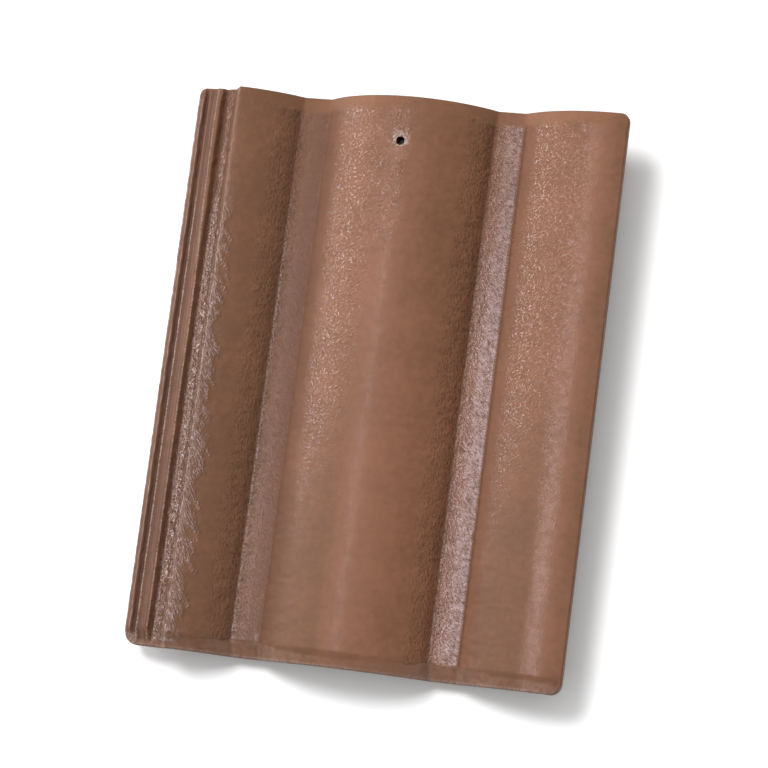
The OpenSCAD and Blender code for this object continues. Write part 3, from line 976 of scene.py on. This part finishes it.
def studio_world(fill):
    """Even light from all round. Rays that show the backdrop see it turn white near the horizon."""
    horizon, overhead = 0.25, 0.65
    world = bpy.data.worlds.new("studio")
    tree = cleared_tree(world)
    seen = seen_rays(tree)
    way = add_node(tree, "TexCoord").outputs["Generated"]
    up = add_node(tree, "SeparateXYZ", (way,)).outputs["Z"]
    backdrop = add_node(tree, "MapRange", (up, horizon, overhead, 1, fill))
    strength = add_node(
        tree, "Mix", {FACTOR: seen, VALUE_A: fill, VALUE_B: backdrop}, data_type="FLOAT"
    )
    sky = add_node(tree, "Background", {"Strength": strength})
    add_node(tree, "OutputWorld", {"Surface": sky})
    return world


def show(name, data):
    """Puts new object data into the scene at the origin."""
    made = bpy.data.objects.new(name, data)
    bpy.context.scene.collection.objects.link(made)
    return made


def soft_box(name, watts, size, place):
    """A rectangular soft box that faces the tile and stays out of the camera's sight."""
    data = bpy.data.lights.new(name, "AREA")
    data.shape = "RECTANGLE"
    data.size, data.size_y = size
    data.energy = watts
    lamp = show(name, data)
    lamp.location = place
    lamp.rotation_euler = lamp.location.to_track_quat("Z", "Y").to_euler()
    lamp.visible_camera = False
    return lamp


class MESH_OT_coated_tile_add(bpy.types.Operator):
    """Build the roof tile and lay it in place of its solid"""

    bl_idname = "mesh.coated_tile_add"
    bl_label = "Add Coated Tile"

    def execute(self, context):
        s = context.scene.tile_size
        d = derived(s)
        section_tables(s, d)
        points, quads, ends, is_coated = tile_surface(s, d)
        marks = surface_marks(s, d, points, is_coated)
        mesh, used = mesh_of("coated_tile", to_floor(s, d, points), quads, ends)
        for name, values in marks.items():
            layer = mesh.attributes.new(name, "FLOAT", "POINT")
            layer.data.foreach_set("value", values[used].astype(np.float32))
        mesh.materials.append(coated_concrete(context.scene.tile_finish, marks))
        tile = show("coated_tile", mesh)
        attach(tile, "root")
        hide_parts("tile")
        return {"FINISHED"}


class SCENE_OT_tile_studio(bpy.types.Operator):
    """Set up the floor, the lights and the camera"""

    bl_idname = "scene.tile_studio"
    bl_label = "Set Up Studio"

    def execute(self, context):
        studio, tile = context.scene.tile_studio, context.scene.tile_size
        side = 4.0
        corners = [(-side, -side, 0), (side, -side, 0), (side, side, 0), (-side, side, 0)]
        mesh = bpy.data.meshes.new("floor")
        mesh.from_pydata(corners, [], [(0, 1, 2, 3)])
        mesh.materials.append(studio_floor(studio.floor, tile.tile_width, tile.tile_length))
        floor = show("floor", mesh)

        # Two boxes light the coat's colour, and three more show only as sheen and glints on it
        for name, watts, size, place in (
            ("key_box", studio.key_power, (2.0, 2.0), (-1.6, 2.1, 4.3)),
            ("side_box", studio.side_power, (1.2, 1.0), (-1.4, 0.5, 0.95)),
        ):
            soft_box(name, watts, size, place).visible_glossy = False
        for name, watts, tint, size, place in (
            ("strip_box", studio.strip_power, studio.sheen, (1.3, 0.28), (-0.26, 0.0, 1.2)),
            ("head_box", studio.glint_power, studio.glint, (0.5, 0.5), (-1.4, 0.45, 0.8)),
            ("tail_box", studio.low_power, studio.sheen, (0.5, 0.22), (-1.4, 0.05, 0.42)),
        ):
            lamp = soft_box(name, watts, size, place)
            lamp.visible_diffuse = False
            lamp.data.color = tint
        context.scene.world = studio_world(studio.fill)

        data = bpy.data.cameras.new("camera")
        data.lens = studio.lens
        data.sensor_width = 36
        data.clip_start, data.clip_end = 0.05, 50
        camera = show("camera", data)
        camera.location = CAMERA_PLACE
        camera.rotation_euler = [math.radians(angle) for angle in CAMERA_TURN]
        context.scene.camera = camera
        context.scene.view_settings.view_transform = "Standard"
        return {"FINISHED"}


class VIEW3D_PT_coated_tile(bpy.types.Panel):
    """Sizes, colours and lights of the roof tile"""

    bl_label = "Roof Tile"
    bl_space_type = "VIEW_3D"
    bl_region_type = "UI"
    bl_category = "Roof Tile"

    def draw(self, context):
        """One box for each group of values, then the two operators."""
        for group in (context.scene.tile_size, context.scene.tile_finish, context.scene.tile_studio):
            box = self.layout.box()
            for name in group.__annotations__:
                box.prop(group, name)
        self.layout.operator("mesh.coated_tile_add")
        self.layout.operator("scene.tile_studio")


CLASSES = (
    TileSize,
    TileFinish,
    TileStudio,
    MESH_OT_coated_tile_add,
    SCENE_OT_tile_studio,
    VIEW3D_PT_coated_tile,
)


def register():
    """Adds the classes, and the groups of values to every scene."""
    for cls in CLASSES:
        bpy.utils.register_class(cls)
    bpy.types.Scene.tile_size = PointerProperty(type=TileSize)
    bpy.types.Scene.tile_finish = PointerProperty(type=TileFinish)
    bpy.types.Scene.tile_studio = PointerProperty(type=TileStudio)


def unregister():
    """Takes away what register added, in the opposite order."""
    del bpy.types.Scene.tile_studio
    del bpy.types.Scene.tile_finish
    del bpy.types.Scene.tile_size
    for cls in reversed(CLASSES):
        bpy.utils.unregister_class(cls)


def main():
    """Registers the classes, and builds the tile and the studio."""
    register()
    bpy.ops.mesh.coated_tile_add()
    bpy.ops.scene.tile_studio()


if __name__ == "__main__":
    main()
